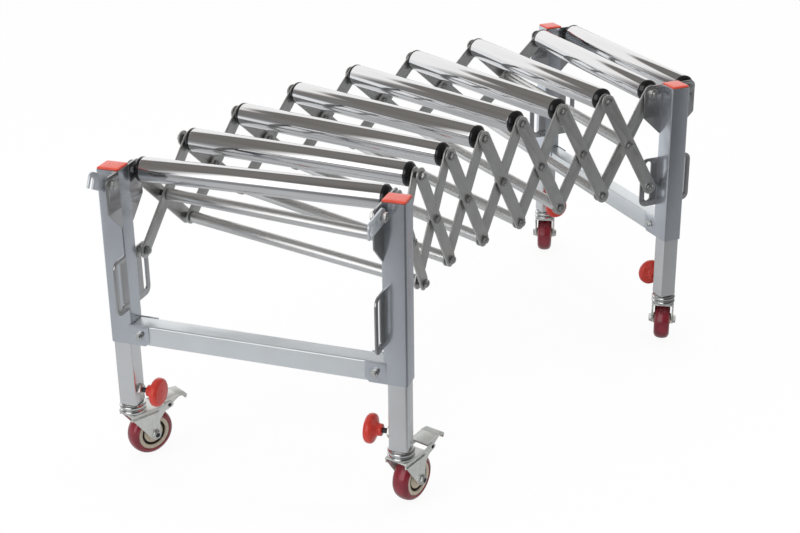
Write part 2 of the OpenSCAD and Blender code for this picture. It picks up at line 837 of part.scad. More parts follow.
// Coupling hook on its bolt, with a notch that opens downward
module hook(s) {
  rise = s < 0 ? hook_rise_l : hook_rise_r;
  x = s * (plate_x + end_c);
  color([0.79, 0.80, 0.81])
    translate([x, -arm, roller_z]) rotate([-rise, 0, 0]) rotate([90, 0, 90])
      linear_extrude(link_t, center = true) difference() {
        union() {
          end = hook_reach + notch_w / 2 + hook_finger;
          translate([-end, -hook_h / 2]) square([end, hook_h - hook_round]);
          translate([hook_round - end, 0]) square([end - hook_round, hook_h / 2]);
          translate([hook_round - end, hook_h / 2 - hook_round]) circle(hook_round);
          circle(d = hook_h);
        }
        circle(d = pin_d + 2 * slide_gap);
        translate([-hook_reach, 0]) circle(d = notch_w);
        translate([-hook_reach - notch_w / 2, -hook_h]) square([notch_w, hook_h]);
      }
}

posts(0);  // front_posts
leg_tubes(0);  // front_leg_tubes
caps(0);  // front_caps
ears(0);  // front_ears
slot_plates(0);  // front_slot_plates
stretcher(0);  // front_stretcher
front_fasteners();
posts(1);  // rear_posts
leg_tubes(1);  // rear_leg_tubes
caps(1);  // rear_caps
ears(1);  // rear_ears
slot_plates(1);  // rear_slot_plates
stretcher(1);  // rear_stretcher
rear_fasteners();
link_a(0);  // link_a1
link_a(1);  // link_a2
link_a(2);  // link_a3
link_a(3);  // link_a4
link_a(4);  // link_a5
link_a(5);  // link_a6
link_a(6);  // link_a7
link_b(0);  // link_b1
link_b(1);  // link_b2
link_b(2);  // link_b3
link_b(3);  // link_b4
link_b(4);  // link_b5
link_b(5);  // link_b6
link_b(6);  // link_b7
roller_at(1);  // roller_1
roller_at(2);  // roller_2
roller_at(3);  // roller_3
roller_at(4);  // roller_4
roller_at(5);  // roller_5
roller_at(6);  // roller_6
roller_at(7);  // roller_7
roller_at(8);  // roller_8
roller_at(9);  // roller_9
leg(0, -1);  // leg_fl
leg(0, 1);  // leg_fr
leg(1, -1);  // leg_rl
leg(1, 1);  // leg_rr
fork(0, -1);  // fork_fl
fork(0, 1);  // fork_fr
fork(1, -1);  // fork_rl
fork(1, 1);  // fork_rr
wheel(0, -1);  // wheel_fl
wheel(0, 1);  // wheel_fr
wheel(1, -1);  // wheel_rl
wheel(1, 1);  // wheel_rr
pedal(0, -1);  // pedal_fl
pedal(0, 1);  // pedal_fr
pedal(1, -1);  // pedal_rl
pedal(1, 1);  // pedal_rr
knob(0, -1);  // knob_fl
knob(0, 1);  // knob_fr
knob(1, -1);  // knob_rl
knob(1, 1);  // knob_rr
hook(-1);  // hook_l
hook(1);  // hook_r
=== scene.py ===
import bpy, bmesh
from math import sin, cos, tan, pi, radians, asin, sqrt, atan2, hypot
from mathutils import Matrix, Vector

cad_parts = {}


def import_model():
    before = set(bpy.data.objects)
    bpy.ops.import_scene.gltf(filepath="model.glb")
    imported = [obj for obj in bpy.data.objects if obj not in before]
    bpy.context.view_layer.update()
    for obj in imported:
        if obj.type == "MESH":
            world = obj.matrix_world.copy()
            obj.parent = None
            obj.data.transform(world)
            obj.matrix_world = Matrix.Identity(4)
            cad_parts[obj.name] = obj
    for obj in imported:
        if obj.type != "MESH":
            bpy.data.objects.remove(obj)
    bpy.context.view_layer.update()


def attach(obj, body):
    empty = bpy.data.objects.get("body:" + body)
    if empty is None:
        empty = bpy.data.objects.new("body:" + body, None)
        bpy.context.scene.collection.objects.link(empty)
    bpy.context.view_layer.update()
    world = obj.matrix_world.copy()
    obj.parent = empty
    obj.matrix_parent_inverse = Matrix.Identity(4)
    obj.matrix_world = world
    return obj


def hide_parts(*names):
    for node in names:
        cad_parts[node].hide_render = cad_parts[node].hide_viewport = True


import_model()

# Sizes in mm and angles in degrees, as in the part
BAYS, ROLLERS = 7, 9
TURN = 6.85                                   # each bay's turn to the right
LINK_LEN, LINK_W, LINK_T = 198.0, 25.0, 3.0   # LINK_LEN is between the end pivots
OPEN_LEAN = 37.75                             # lean of a link in the middle of a bay
PITCH = LINK_LEN * sin(radians(OPEN_LEAN))
PIVOT_Z = 483.5                               # pivots at the links' tops, and the rollers' axles
FRAME_ARM = 36.0                              # from an end frame's middle to its axles
PLATE_X, PLATE_T, PLATE_GAP = 206.5, 3.0, 3.8
PLATE_HALF = 51.0                             # half the width of an ear or slot plate
END_OUT = PLATE_T / 2 + PLATE_GAP + LINK_T / 2   # links beside the plates' plane, in the end bays
MID_OUT = 2.75                                   # and in the other bays
SKEW_GAP, BUSH_GAP = 1.2, 0.7
EDGE = 0.5                                    # bevel of most edges

POST_W, POST_WALL, POST_R = 34.0, 1.9, 3.0
POST_X, POST_Z0, POST_TOP = 225.0, 212.0, 497.0
PAD, PAD_Z0 = 3.2, 246.5    # how far the post's inner face stands past the plates', and from where up
TAB_REACH, TAB_H, TAB_T, TAB_Y = 32.0, 34.5, 1.5, 16.25
TAB_BOLT = 16.0                               # from the post's face
STRETCHER_Z = POST_Z0 + TAB_H / 2
STRETCHER_W, STRETCHER_H = 30.8, 33.0
CAP_W = 32.4
EAR_H, EAR_SLOPE = 90.0, 32.0
SLOT_R, SLOT_BELOW, SLOT_ABOVE = 5.4, 27.6, 7.4
TUBE_W, TUBE_WALL, TUBE_Z0, TUBE_TOP = 30.0, 1.7, 101.0, 307.0
LEG_W, LEG_WALL, LEG_TOP, PLUG_W, PLUG_H = 26.0, 1.5, 360.0, 22.8, 24.0
KNOB_Z, KNOB_OUT = 124.0, 14.0

PIN_D, WASHER_D, WASHER_T, NUT_AF, NUT_H, THREAD_END = 8.0, 17.0, 1.6, 13.0, 5.3, 2.0
BUSH_D, SPACER_D = 10.0, 14.0
TIE_D = 19.0
ROLL_D, ROLL_LEN = 36.0, 393.6
ROLL_GROW = 0.9                               # the photo's rollers are thicker than the solids
ROLL_HALF, ROLL_HALF_TIGHT = 201.6, 197.8     # and reach further out where the links leave room
TIGHT_ROLLERS = (2, 8)
ROLL_CAP = 9.6                                # length of a black cap

RACE_TOP, RACE_H, RACE_R = 99.6, 7.6, 21.0
CROWN_Z, FORK_GAP, CHEEK_T = 83.9, 34.0, 2.2
WHEEL_R, WHEEL_HALF, TRAIL = 37.5, 14.0, 26.0
LUG_X, LUG_DROP = 55.0, 4.0                   # the pedal's pin, out from the kingpin and under the crown
CASTERS = {"fl": 60, "fr": 73, "rl": 101, "rr": 97}   # headings
HOOKS = {"l": 27, "r": -3}                            # how far each is raised

# How much longer a bay is on the left side than in the middle
SIDE = 2 * PLATE_X * sin(radians(TURN / 2))


# The lattice's pivots: k counts the lines across the bed, s is -1 on the left and 1 on the right
def chord(s):
    return PITCH - s * SIDE


def lean(s):
    return asin(chord(s) / LINK_LEN)


def drop(s):
    return LINK_LEN * cos(lean(s))


def heading(k):
    return -k * TURN


def centre(k):
    x, y = 0.0, FRAME_ARM
    for i in range(1, k + 1):
        a = radians((i - .5) * TURN)
        x, y = x + PITCH * sin(a), y + PITCH * cos(a)
    return x, y


def side_point(k, s, z):
    x, y = centre(k)
    h = radians(heading(k))
    return Vector((x + s * PLATE_X * cos(h), y + s * PLATE_X * sin(h), z))


def low_point(k, s):
    return side_point(k, s, PIVOT_Z - drop(s))


def mid_point(k, s):
    return (side_point(k, s, PIVOT_Z) + low_point(k + 1, s)) / 2


def link_shift(k):
    return END_OUT if k in (0, BAYS - 1) else MID_OUT


def link_out(k):
    return PLATE_X + link_shift(k) + LINK_T / 2


def link_in(k):
    return PLATE_X - link_shift(k) - LINK_T / 2


# Places, as matrices in mm
def move(x=0, y=0, z=0):
    return Matrix.Translation((x, y, z))


def turn(angle, axis="Z"):
    return Matrix.Rotation(radians(angle), 4, axis)


def flip(s):
    return Matrix.Diagonal((s, 1, 1, 1))


def at_frame(k):
    """The front frame's middle for 0, the rear frame's for 1."""
    if k == 0:
        return Matrix()
    x, y = centre(BAYS)
    return move(x, y) @ turn(heading(BAYS)) @ move(0, FRAME_ARM)


def at_bay(k):
    (a, b), (c, d) = centre(k), centre(k + 1)
    return move((a + c) / 2, (b + d) / 2, PIVOT_Z) @ turn((heading(k) + heading(k + 1)) / 2)


def at_line(p, q):
    """From the X axis to the line p q, and how far each end is out of the plates' middle."""
    d = q - p
    across = Matrix.Rotation(atan2(d.y, d.x), 4, "Z")
    rise = Matrix.Rotation(-atan2(d.z, hypot(d.x, d.y)), 4, "Y")
    return move(*((p + q) / 2)) @ across @ rise, (d.length - 2 * PLATE_X) / 2


def at_axle(k):
    """The pivot line at the links' tops, of line k."""
    return at_line(side_point(k, -1, PIVOT_Z), side_point(k, 1, PIVOT_Z))[0]


def corner(c):
    """Frame and side of a leg, by its name."""
    return int(c[0] == "r"), -1 if c[1] == "l" else 1


def at_post(c):
    k, s = corner(c)
    return at_frame(k) @ move(s * POST_X)


def at_caster(c):
    k, _ = corner(c)
    return at_post(c) @ turn(CASTERS[c] - k * heading(BAYS))


STAND_YZ = Matrix(((0, 0, 1, 0), (1, 0, 0, 0), (0, 1, 0, 0), (0, 0, 0, 1)))   # u, v, w to Y, Z, X
STAND_XZ = Matrix(((1, 0, 0, 0), (0, 0, -1, 0), (0, 1, 0, 0), (0, 0, 0, 1)))  # u, v, w to X, Z, -Y
UP = Matrix.Rotation(-pi / 2, 4, "Y")                                          # X to Z


class Shader:
    """Adds nodes to a tree. An input is a constant or the output of another node."""
    def __init__(self, tree):
        self.tree = tree

    def fill(self, node, inputs):
        for name, value in inputs.items():
            if isinstance(value, bpy.types.NodeSocket):
                self.tree.links.new(value, node.inputs[name])
            else:
                node.inputs[name].default_value = value

    def node(self, kind, inputs):
        node = self.tree.nodes.new(kind)
        self.fill(node, inputs)
        return node

    def math(self, operation, *values):
        node = self.tree.nodes.new("ShaderNodeMath")
        node.operation = operation
        self.fill(node, dict(enumerate(values)))
        return node.outputs["Value"]

    def vector(self, operation, a, b):
        node = self.tree.nodes.new("ShaderNodeVectorMath")
        node.operation = operation
        self.fill(node, {0: a, 1: b})
        return node.outputs["Value"]

    def mix(self, blend, a, b, share=1.0):
        node = self.tree.nodes.new("ShaderNodeMix")
        node.data_type = "RGBA"
        node.blend_type = blend
        self.fill(node, {"Factor": share, "A": a, "B": b})
        return node.outputs["Result"]

    def emission(self, colour):
        return self.node("ShaderNodeEmission", {"Color": colour}).outputs["Emission"]

    def mix_shader(self, share, a, b):
        return self.node("ShaderNodeMixShader", {0: share, 1: a, 2: b}).outputs["Shader"]

    def share(self, source, low, high, to_low=0.0, to_high=1.0):
        """The source's place between low and high, brought to between to_low and to_high."""
        inputs = {"Value": source, "From Min": low, "From Max": high, "To Min": to_low, "To Max": to_high}
        return self.node("ShaderNodeMapRange", inputs).outputs["Result"]

    def colours(self, source, stops):
        """Ramp of (place, colour) stops."""
        node = self.node("ShaderNodeValToRGB", {"Fac": source})
        elements = node.color_ramp.elements
        first, *between, last = stops
        for element, (place, colour) in zip(elements, (first, last)):
            element.position = place
            element.color = (*colour, 1)
        for place, colour in between:
            elements.new(place).color = (*colour, 1)
        return node.outputs["Color"]


WHITE = (1, 1, 1, 1)


def material(name, base, rough, metal=0.0, coat=0.0, var=.05, grain=45.0, bump=.15, fine=900.0,
             stretch=(1, 1, 1), spread=.06, deep=2e-5, spec=.5, tint=None):
    """Wide noise varies the colour and roughness, and fine noise roughens the surface."""
    made = bpy.data.materials.new(name)
    made.use_nodes = True
    sh = Shader(made.node_tree)
    place = sh.node("ShaderNodeTexCoord", {}).outputs["Object"]
    place = sh.node("ShaderNodeMapping", {"Vector": place, "Scale": stretch}).outputs["Vector"]
    wide = sh.node("ShaderNodeTexNoise", {"Vector": place, "Scale": grain, "Detail": 3}).outputs["Fac"]
    tiny = sh.node("ShaderNodeTexNoise", {"Vector": place, "Scale": fine, "Detail": 2}).outputs["Fac"]
    low, high = .3, .7       # the noise lies between these
    darker = [c * (1 - var) for c in base]
    lighter = [min(1, c * (1 + var)) for c in tint or base]
    rough_low = max(.02, rough - spread)
    bumps = sh.node("ShaderNodeBump", {"Strength": bump, "Distance": deep, "Height": tiny})
    sh.fill(made.node_tree.nodes["Principled BSDF"], {
        "Base Color": sh.colours(wide, [(low, darker), (high, lighter)]),
        "Roughness": sh.share(wide, low, high, rough_low, rough + spread),
        "Normal": bumps.outputs["Normal"],
        "Metallic": metal,
        "Coat Weight": coat,
        "Coat Roughness": .06,
        "Specular IOR Level": spec,
    })
    return made


MAT = {
    "paint": material("frame_paint", (.655, .69, .745), .23, metal=.9, coat=.15, var=.03, grain=22,
                      bump=.04, fine=420, spread=.03, spec=.6),
    "beam": material("beam_paint", (.81, .85, .875), .32, metal=.75, coat=.15, var=.03, grain=22,
                     bump=.04, fine=420, spread=.03),
    "plate": material("plate_paint", (.50, .50, .51), .2, metal=.9, coat=.15, grain=26,
                      bump=.06, fine=500, spread=.04),
    "leg": material("leg_paint", (.81, .82, .835), .24, metal=.88, coat=.15, var=.03, grain=14,
                    bump=.02, fine=700, spread=.02),
    "cap": material("cap_red", (.70, .07, .035), .3, coat=.5, var=.07, grain=60, fine=500),
    "link": material("link_steel", (.56, .56, .55), .32, metal=.85, grain=35, bump=.12, fine=1500,
                     tint=(.60, .60, .59), spread=.05),
    "hook": material("hook_zinc", (.62, .67, .72), .34, metal=.6, var=.07, grain=60, bump=.2,
                     fine=1400, tint=(.68, .71, .75)),
    "chrome": material("roller_chrome", (.82, .82, .83), .085, metal=1.0, var=.03, grain=60, bump=.1,
                       fine=700, stretch=(.25, 6, 6), spread=.035, deep=1e-5),
    "tie": material("tie_satin", (.80, .80, .80), .3, metal=.95, var=.03, grain=60, bump=.1,
                    stretch=(.3, 5, 5), spread=.04, deep=1e-5),
    "zinc": material("zinc", (.70, .71, .71), .3, metal=.95, var=.1, grain=120, bump=.25, fine=1600,
                     tint=(.74, .75, .72), spread=.09),
    "caster": material("caster_zinc", (.78, .81, .79), .33, metal=.6, grain=70, bump=.2, fine=1300,
                       tint=(.82, .82, .78)),
    "ring": material("race_ring", (.80, .81, .81), .15, metal=1.0, var=.06, grain=90, bump=.12,
                     fine=1200, spread=.05),
    "bolt": material("pivot_bolts", (.52, .52, .52), .28, metal=.9, var=.1, grain=150, bump=.3, fine=1500),
    "dark": material("dark_steel", (.05, .05, .055), .35, metal=.7, var=.15, grain=150, bump=.2),
    "black": material("black_plastic", (.008, .008, .009), .2, coat=.35, var=.2, grain=90),
    "tyre": material("wheel_pu", (.19, .010, .022), .2, coat=.6, var=.12, grain=50, bump=.12,
                     tint=(.26, .018, .032)),
    "core": material("wheel_core", (.56, .49, .39), .42, var=.06, grain=80, bump=.3, fine=1200),
    # Painted shade: near black for the shade inside the wheel core's grooves
    "groove": material("core_shadow", (.10, .085, .06), .55, var=.15, grain=80, bump=.2, fine=1200),
    "knob": material("knob_red", (.62, .04, .025), .3, coat=.35, var=.08, grain=70, fine=600),
}


# Outlines: lists of (x, y) in mm
def circle(x, y, r, n=32):
    return [(x + r * cos(2 * pi * i / n), y + r * sin(2 * pi * i / n)) for i in range(n)]


def arc(x, y, r, start, n):
    """Half a circle from the angle start, in radians."""
    angles = [start + pi * i / n for i in range(n + 1)]
    return [(x + r * cos(a), y + r * sin(a)) for a in angles]


def stadium(x0, y0, x1, y1, r, n=14):
    a = atan2(y1 - y0, x1 - x0)
    return arc(x1, y1, r, a - pi / 2, n) + arc(x0, y0, r, a + pi / 2, n)


def ring(w, h, r, n=5):
    """Rounded rectangle, counter-clockwise."""
    r = max(r, .05)
    out = []
    for sx, sy, start in ((1, 1, 0), (-1, 1, 90), (-1, -1, 180), (1, -1, 270)):
        for i in range(n + 1):
            a = radians(start + 90 * i / n)
            out.append((sx * (w / 2 - r) + r * cos(a), sy * (h / 2 - r) + r * sin(a)))
    return out


def rounded(points, n=6):
    """Polygon whose corners (x, y, radius) are rounded."""
    out = []
    for k, (x, y, r) in enumerate(points):
        p = Vector((x, y))
        if r <= 0:
            out.append((x, y))
            continue
        a = (Vector(points[k - 1][:2]) - p).normalized()
        b = (Vector(points[(k + 1) % len(points)][:2]) - p).normalized()
        half = a.angle(b) / 2
        run = r / tan(half)
        c = p + (a + b).normalized() * (r / sin(half))
        first, last = p + a * run - c, p + b * run - c
        start = atan2(first.y, first.x)
        sweep = (atan2(last.y, last.x) - start + pi) % (2 * pi) - pi
        angles = [start + sweep * i / n for i in range(n + 1)]
        out += [(c.x + r * cos(t), c.y + r * sin(t)) for t in angles]
    return out


# Meshes: each maker returns (points, faces) in mm
def lathe(profile, n=40):
    """Points (x, r) turned round X. A radius of 0 closes an end."""
    points, faces, rings = [], [], []
    for x, r in profile:
        first = len(points)
        if r < 1e-6:
            rings.append([first])
            points.append((x, 0, 0))
        else:
            rings.append(list(range(first, first + n)))
            points += [(x, r * cos(2 * pi * i / n), r * sin(2 * pi * i / n)) for i in range(n)]
    for a, b in zip(rings, rings[1:]):
        for i in range(n):
            j = (i + 1) % n
            face = [a[i % len(a)], a[j % len(a)], b[j % len(b)], b[i % len(b)]]
            face = list(dict.fromkeys(face))
            if len(face) > 2:
                faces.append(face)
    return points, faces


def loft(rings, closed=False):
    """Rings of (outline, z) with equal counts, joined in turn. Open lofts are capped."""
    n, count = len(rings[0][0]), len(rings)
    points = [(x, y, z) for outline, z in rings for x, y in outline]
    faces = []
    for k in range(count if closed else count - 1):
        a, b = k * n, ((k + 1) % count) * n
        faces += [[a + i, a + (i + 1) % n, b + (i + 1) % n, b + i] for i in range(n)]
    if not closed:
        faces.append(list(range(n))[::-1])
        faces.append([(count - 1) * n + i for i in range(n)])
    return points, faces


def square_tube(w, wall, r, z0, z1, h=None):
    h = h or w
    inner_r = max(r - wall, .6)
    in_w, in_h = w - 2 * wall, h - 2 * wall

    def outer(inset, z):
        return ring(w - 2 * inset, h - 2 * inset, r - inset), z

    def inner(grow, z):
        return ring(in_w + 2 * grow, in_h + 2 * grow, inner_r + grow), z

    fine = EDGE / 2
    return loft([outer(EDGE, z0), outer(0, z0 + EDGE), outer(0, z1 - EDGE), outer(EDGE, z1),
                 inner(fine, z1), inner(0, z1 - fine), inner(0, z0 + fine), inner(fine, z0)], closed=True)


def plate(outer, holes=(), t=3.0, bevel=.5, steps=1):
    """Sheet with bevelled edges, in the u, v plane."""
    curve = bpy.data.curves.new("plate", "CURVE")
    curve.dimensions = "2D"
    curve.fill_mode = "BOTH"
    curve.extrude = t / 2 - bevel
    curve.bevel_depth = bevel
    curve.bevel_resolution = steps
    curve.offset = -bevel
    for k, loop in enumerate([outer, *holes]):
        area = sum(a[0] * c[1] - c[0] * a[1] for a, c in zip(loop, loop[1:] + loop[:1]))
        if (area > 0) != (k == 0):
            loop = loop[::-1]
        spline = curve.splines.new("POLY")
        spline.points.add(len(loop) - 1)
        spline.use_cyclic_u = True
        for point, (x, y) in zip(spline.points, loop):
            point.co = (x, y, 0, 1)
    carrier = bpy.data.objects.new("plate", curve)
    mesh = bpy.data.meshes.new_from_object(carrier)
    bm = bmesh.new()
    bm.from_mesh(mesh)
    bmesh.ops.remove_doubles(bm, verts=bm.verts, dist=.01)
    bmesh.ops.recalc_face_normals(bm, faces=bm.faces)
    points = [tuple(v.co) for v in bm.verts]
    faces = [[v.index for v in face.verts] for face in bm.faces]
    bm.free()
    bpy.data.objects.remove(carrier)
    bpy.data.curves.remove(curve)
    bpy.data.meshes.remove(mesh)
    return points, faces


def rod(d, x0, x1, bevel=.5, n=32):
    r = d / 2
    return lathe([(x0, 0), (x0, r - bevel), (x0 + bevel, r), (x1 - bevel, r), (x1, r - bevel), (x1, 0)], n)


def sleeve(d, x0, x1):
    return rod(d, min(x0, x1), max(x0, x1), .3)


def washer(x0, r, t, lead=.3, near=.2):
    """Washer standing outward from x0, with its edges broken."""
    return lathe([(x0, 0), (x0, r - near), (x0 + lead, r),
                  (x0 + t - lead, r), (x0 + t, r - .3), (x0 + t, 0)])


def hexagon(x0, h=NUT_H, across=NUT_AF):
    """Hexagon with chamfered corners, standing outward from x0."""
    r = across / sqrt(3)
    points = []
    for x, size in ((x0, r), (x0 + h - h * .13, r), (x0 + h, r * .87)):
        points += [(x, size * cos(pi * i / 3), size * sin(pi * i / 3)) for i in range(6)]
    faces = [[a + i, a + (i + 1) % 6, a + 6 + (i + 1) % 6, a + 6 + i] for a in (0, 6) for i in range(6)]
    return points, faces + [[12 + i for i in range(6)], [5 - i for i in range(6)]]


class Piece:
    """Gathers meshes in mm into one object that rides on a body."""
    def __init__(self, name, at=None):
        self.name, self.at = name, at
        self.points, self.faces, self.slots, self.looks = [], [], [], []

    def add(self, mesh, look, at=Matrix()):
        points, faces = mesh
        base = len(self.points)
        if look not in self.looks:
            self.looks.append(look)
        slot, mirrored = self.looks.index(look), at.determinant() < 0
        self.points += [tuple(at @ Vector(p)) for p in points]
        for face in faces:
            face = [base + i for i in face]
            self.faces.append(face[::-1] if mirrored else face)
            self.slots.append(slot)

    def done(self, body, nodes=(), slot=None, sharp=38):
        me = bpy.data.meshes.new(self.name)
        me.from_pydata(self.points, [], self.faces)
        me.transform(Matrix.Scale(.001, 4))
        me.polygons.foreach_set("material_index", self.slots)
        for look in self.looks:
            me.materials.append(MAT[look])
        bm = bmesh.new()
        bm.from_mesh(me)
        bmesh.ops.recalc_face_normals(bm, faces=bm.faces)
        bm.to_mesh(me)
        bm.free()
        me.polygons.foreach_set("use_smooth", [True] * len(me.polygons))
        me.set_sharp_from_angle(angle=radians(sharp))
        me.update()
        ob = bpy.data.objects.new(self.name, me)
        bpy.context.scene.collection.objects.link(ob)
        if self.at is not None:
            metres = self.at.copy()
            metres.translation *= .001
            ob.matrix_world = metres
        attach(ob, body)
        if nodes:
            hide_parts(*nodes)


# Fasteners along X
def nut(p, at, x0, thread=True):
    """Washer, nut and thread end standing outward from x0."""
    p.add(washer(x0, WASHER_D / 2, WASHER_T), "zinc", at)
    p.add(hexagon(x0 + WASHER_T), "zinc", at)
    if thread:
        r, x = PIN_D / 2, x0 + WASHER_T + NUT_H
        p.add(lathe([(x - 1, r), (x + .5, r), (x + .7, r - .35), (x + .9, r), (x + 1.2, r),
                     (x + THREAD_END, r - .8), (x + THREAD_END, 0)], 24), "zinc", at)


def low_nut(p, at, x0, thread=True):
    """Smaller washer and low nut, as on the links."""
    p.add(washer(x0, 7.1, 1), "bolt", at)
    p.add(hexagon(x0 + 1, 3.8, 11), "bolt", at)
    if thread:
        p.add(lathe([(x0 + 4, 3.8), (x0 + 5.4, 3.8), (x0 + 5.9, 3.2), (x0 + 6, 0)], 24), "bolt", at)


def side_bolt(p, at, ka, kb):
    """Bolt through the outer link of bay ka and the inner link of bay kb."""
    face = link_out(ka) + SKEW_GAP
    low_nut(p, at, face)
    p.add(sleeve(BUSH_D, link_in(kb) + LINK_T + BUSH_GAP, link_out(ka) - LINK_T - BUSH_GAP), "dark", at)
    p.add(rod(PIN_D, link_in(kb) - SKEW_GAP - 1, face + 1, .2, 20), "bolt", at)


# End frames: k is 0 for the front and 1 for the rear
BODY = ("front_frame", "rear_frame")
TAG = ("front", "rear")
SIDES = (-1, 1)


def post_tube():
    """Upper post. From PAD_Z0 up its inner face stands further in."""
    def outer(z, inset=0.0, grow=0.0):
        side = POST_W - 2 * inset
        return [(x - grow / 2, y) for x, y in ring(side + grow, side, POST_R - inset)], z

    def inner(z, inset=0.0, grow=0.0):
        return outer(z, POST_WALL - inset, grow)

    z, top, fine = POST_Z0, POST_TOP, EDGE / 2
    return loft([outer(z, EDGE), outer(z + EDGE), outer(PAD_Z0), outer(PAD_Z0 + .6, 0, PAD),
                 outer(top - EDGE, 0, PAD), outer(top, EDGE, PAD),
                 inner(top, fine, PAD), inner(top - fine, 0, PAD), inner(PAD_Z0 + 2.6, 0, PAD),
                 inner(PAD_Z0 + 2), inner(z + fine), inner(z, fine)], closed=True)


def posts(k):
    p = Piece(TAG[k] + "_posts_v")
    root, tip = -POST_W / 2 + 3, -POST_W / 2 - TAB_REACH
    tab = rounded([(root, 0, 0), (tip + 7, 0, 1.5), (tip, 7, 1.5), (tip, TAB_H, 1), (root, TAB_H, 0)], 3)
    tab = plate(tab, [circle(-POST_W / 2 - TAB_BOLT, TAB_H / 2, 4.4, 20)], TAB_T, .3)
    for s in SIDES:
        at = at_frame(k) @ flip(s) @ move(POST_X)
        p.add(post_tube(), "paint", at)
        for y in SIDES:
            p.add(tab, "paint", at @ move(0, y * TAB_Y, POST_Z0) @ STAND_XZ)
    p.done(BODY[k], [TAG[k] + "_posts"], "frame_paint")


def leg_tubes(k):
    """Lower tubes with the clamps' bosses."""
    p, face = Piece(TAG[k] + "_leg_tubes_v"), TUBE_W / 2
    for s in SIDES:
        at = at_frame(k) @ flip(s) @ move(POST_X)
        p.add(square_tube(TUBE_W, TUBE_WALL, 3, TUBE_Z0, TUBE_TOP), "leg", at)
        p.add(hexagon(0, 5, 17), "zinc", at @ move(-face, 0, KNOB_Z) @ flip(-1))
        p.add(lathe([(0, 0), (0, 8.4), (.9, 7.4), (1, 4.4), (1, 0)], 28), "zinc",
              at @ move(-face - 4.6, 0, KNOB_Z) @ flip(-1))
    p.done(BODY[k], [TAG[k] + "_leg_tubes"], "leg_paint")


def caps(k):
    """Domed caps, each with the plug inside its post."""
    p = Piece(TAG[k] + "_caps_v")

    def rim(inset):
        w = CAP_W - 2 * inset
        return [(x - PAD / 2, y) for x, y in ring(w + PAD, w, max(3 - inset, .8), 6)]

    dome = [(.6, -.1), (0, .3), (0, 1.6), (.25, 2.2), (.8, 2.75), (1.6, 3.05),
            (6, 3.35), (12, 3.45), (15.4, 3.5)]
    plug = ring(29.9, 29.9, 1.8)
    for s in SIDES:
        at = at_frame(k) @ flip(s) @ move(POST_X) @ move(0, 0, POST_TOP)
        p.add(loft([(rim(inset), z) for inset, z in dome]), "cap", at)
        p.add(loft([(plug, -14), (plug, -.05)]), "cap", at)
    p.done(BODY[k], [TAG[k] + "_caps"], "cap_red", 50)


def welded_plates(k, kind, sheet, z0, z1):
    """A plate on the inner side of each post, with weld beads from z0 to z1."""
    p, steps = Piece(f"{TAG[k]}_{kind}_v"), 14
    bead = [(z0 + (z1 - z0) * i / steps, 1.25 + .22 * (i % 2)) for i in range(steps + 1)]
    bead = lathe([(z0, 0)] + bead + [(bead[-1][0], 0)], 10)
    for s in SIDES:
        p.add(sheet, "plate", at_frame(k) @ flip(s) @ move(PLATE_X) @ STAND_YZ)
        at = at_frame(k) @ flip(s) @ move(POST_X)
        for y in SIDES:
            p.add(bead, "plate", at @ move(-POST_W / 2 + .4, y * (POST_W / 2 - .2)) @ UP)
    p.done(BODY[k], [f"{TAG[k]}_{kind}"], "frame_paint")


def ears(k):
    w, low = PLATE_HALF, POST_TOP - EAR_H
    outline = rounded([(-w, low + EAR_SLOPE, 5), (-17, low, 5), (17, low, 5), (w, low + EAR_SLOPE, 5),
                       (w, POST_TOP, 10), (-w, POST_TOP, 10)])
    bores = [circle(y, PIVOT_Z, 4.1, 24) for y in (-FRAME_ARM, FRAME_ARM)]
    welded_plates(k, "ears", plate(outline, bores, PLATE_T), POST_TOP - 78, POST_TOP - 8)


def slot_plates(k):
    slot0, slot1 = PIVOT_Z - drop(1) - SLOT_BELOW, PIVOT_Z - drop(-1) + SLOT_ABOVE
    w, z0, z1 = PLATE_HALF, slot0 - 11, slot1 + 5.5
    outline = rounded([(-w, z0, 13), (w, z0, 13), (w, z1, 13), (-w, z1, 13)])
    slots = [stadium(y, slot0 + SLOT_R, y, slot1 - SLOT_R, SLOT_R) for y in (-FRAME_ARM, FRAME_ARM)]
    welded_plates(k, "slot_plates", plate(outline, slots, PLATE_T), z0 + 8, z1 - 8)


def stretcher(k):
    p, half = Piece(TAG[k] + "_stretcher_v"), (2 * POST_X - POST_W) / 2 - .1
    p.add(square_tube(STRETCHER_H, 1.5, 2.6, -half, half, h=STRETCHER_W), "beam",
          at_frame(k) @ move(0, 0, STRETCHER_Z) @ turn(90, "Y"))
    p.done(BODY[k], [TAG[k] + "_stretcher"], "frame_paint")


def tab_bolt(p, at):
    """Bolt through both tabs and the stretcher, with a washer, nut and end on each side."""
    face = TAB_Y + TAB_T / 2
    p.add(rod(PIN_D, -face, face, .2, 20), "zinc", at)
    for e in SIDES:
        p.add(washer(face, 6.1, 1, .2, .3), "zinc", at @ flip(e))
        p.add(hexagon(face + 1, 5, 10.5), "zinc", at @ flip(e))
        p.add(lathe([(face + 6, 3.6), (face + 7, 3.6), (face + 7.5, 3), (face + 7.5, 0)], 20), "zinc",
              at @ flip(e))


